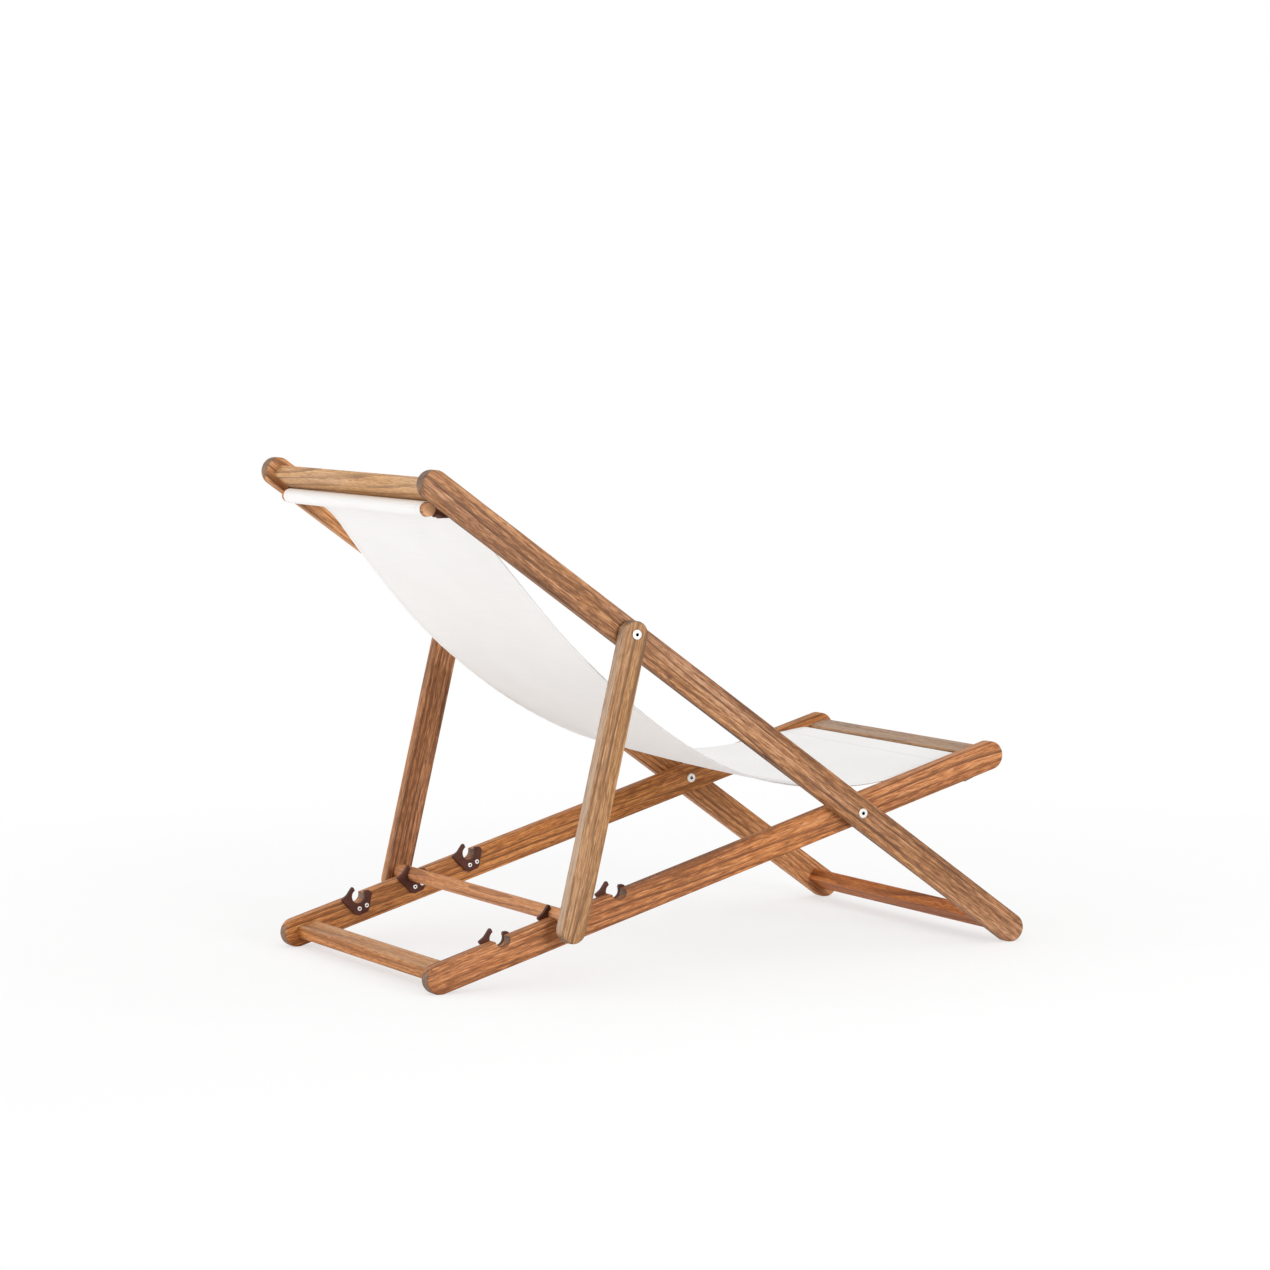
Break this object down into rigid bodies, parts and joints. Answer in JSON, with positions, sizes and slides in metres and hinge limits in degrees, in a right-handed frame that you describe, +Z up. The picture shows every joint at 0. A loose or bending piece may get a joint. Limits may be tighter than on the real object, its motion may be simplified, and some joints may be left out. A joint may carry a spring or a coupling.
{
  "type": "folding garden chair",
  "caption": "Folding timber garden chair with a canvas sling slung between two crossed frames, a hinged prop and notched recline hooks.",
  "frame": {"origin": "middle of the chair's footprint on the floor", "axes": "+X the way the sitter faces, +Y the sitter's left, +Z up"},
  "size_m": [1.0282, 0.631, 0.7617],
  "materials": {
    "timber": "oiled",
    "pale_timber": "oiled",
    "canvas": "matte",
    "moulding": "matte",
    "steel": "satin"
  },
  "bodies": {
    "seat_frame": {"seat_rail_left": "timber", "seat_rail_right": "timber", "rear_crossbar": "timber", "front_crossbar": "timber", "seat_sling_dowel": "pale_timber", "seat_dowel_bracket_left": "moulding", "seat_dowel_bracket_right": "moulding", "hook_front_left": "moulding", "hook_middle_left": "moulding", "hook_rear_left": "moulding", "hook_front_right": "moulding", "hook_middle_right": "moulding", "hook_rear_right": "moulding", "hook_screws_left": "steel", "hook_screws_right": "steel", "seat_bracket_screws": "steel", "pivot_bolt_left": "steel", "pivot_bolt_right": "steel", "pivot_sleeve_left": "steel", "pivot_sleeve_right": "steel", "pivot_washer_left": "steel", "pivot_washer_right": "steel", "sling_seat": "canvas"},
    "back_frame": {"back_rail_left": "timber", "back_rail_right": "timber", "head_crossbar": "timber", "foot_crossbar": "timber", "head_sling_dowel": "pale_timber", "head_dowel_bracket_left": "moulding", "head_dowel_bracket_right": "moulding", "head_bracket_screws": "steel", "strut_sleeve_left": "steel", "strut_sleeve_right": "steel", "strut_washer_left": "steel", "strut_washer_right": "steel", "sling_back": "canvas"},
    "strut_frame": {"strut_left": "pale_timber", "strut_right": "pale_timber", "strut_dowel": "pale_timber", "strut_bolt_left": "steel", "strut_bolt_right": "steel"}
  },
  "joints": [
    {"name": "back_fold", "type": "hinge", "parent": "seat_frame", "child": "back_frame", "pos_m": [0.2203, 0, 0.2198], "axis": [0, 1, 0], "range_deg": [-45.5, 0], "deforming": ["sling_back", "sling_seat"]},
    {"name": "strut_swing", "type": "hinge", "parent": "seat_frame", "child": "strut_frame", "pos_m": [-0.28439, 0, 0.09909], "axis": [0, 1, 0], "range_deg": [0, 60]}
  ],
  "couplings": [
    {"joint": "strut_swing", "follows": "back_fold", "ratio": -1.3187}
  ]
}
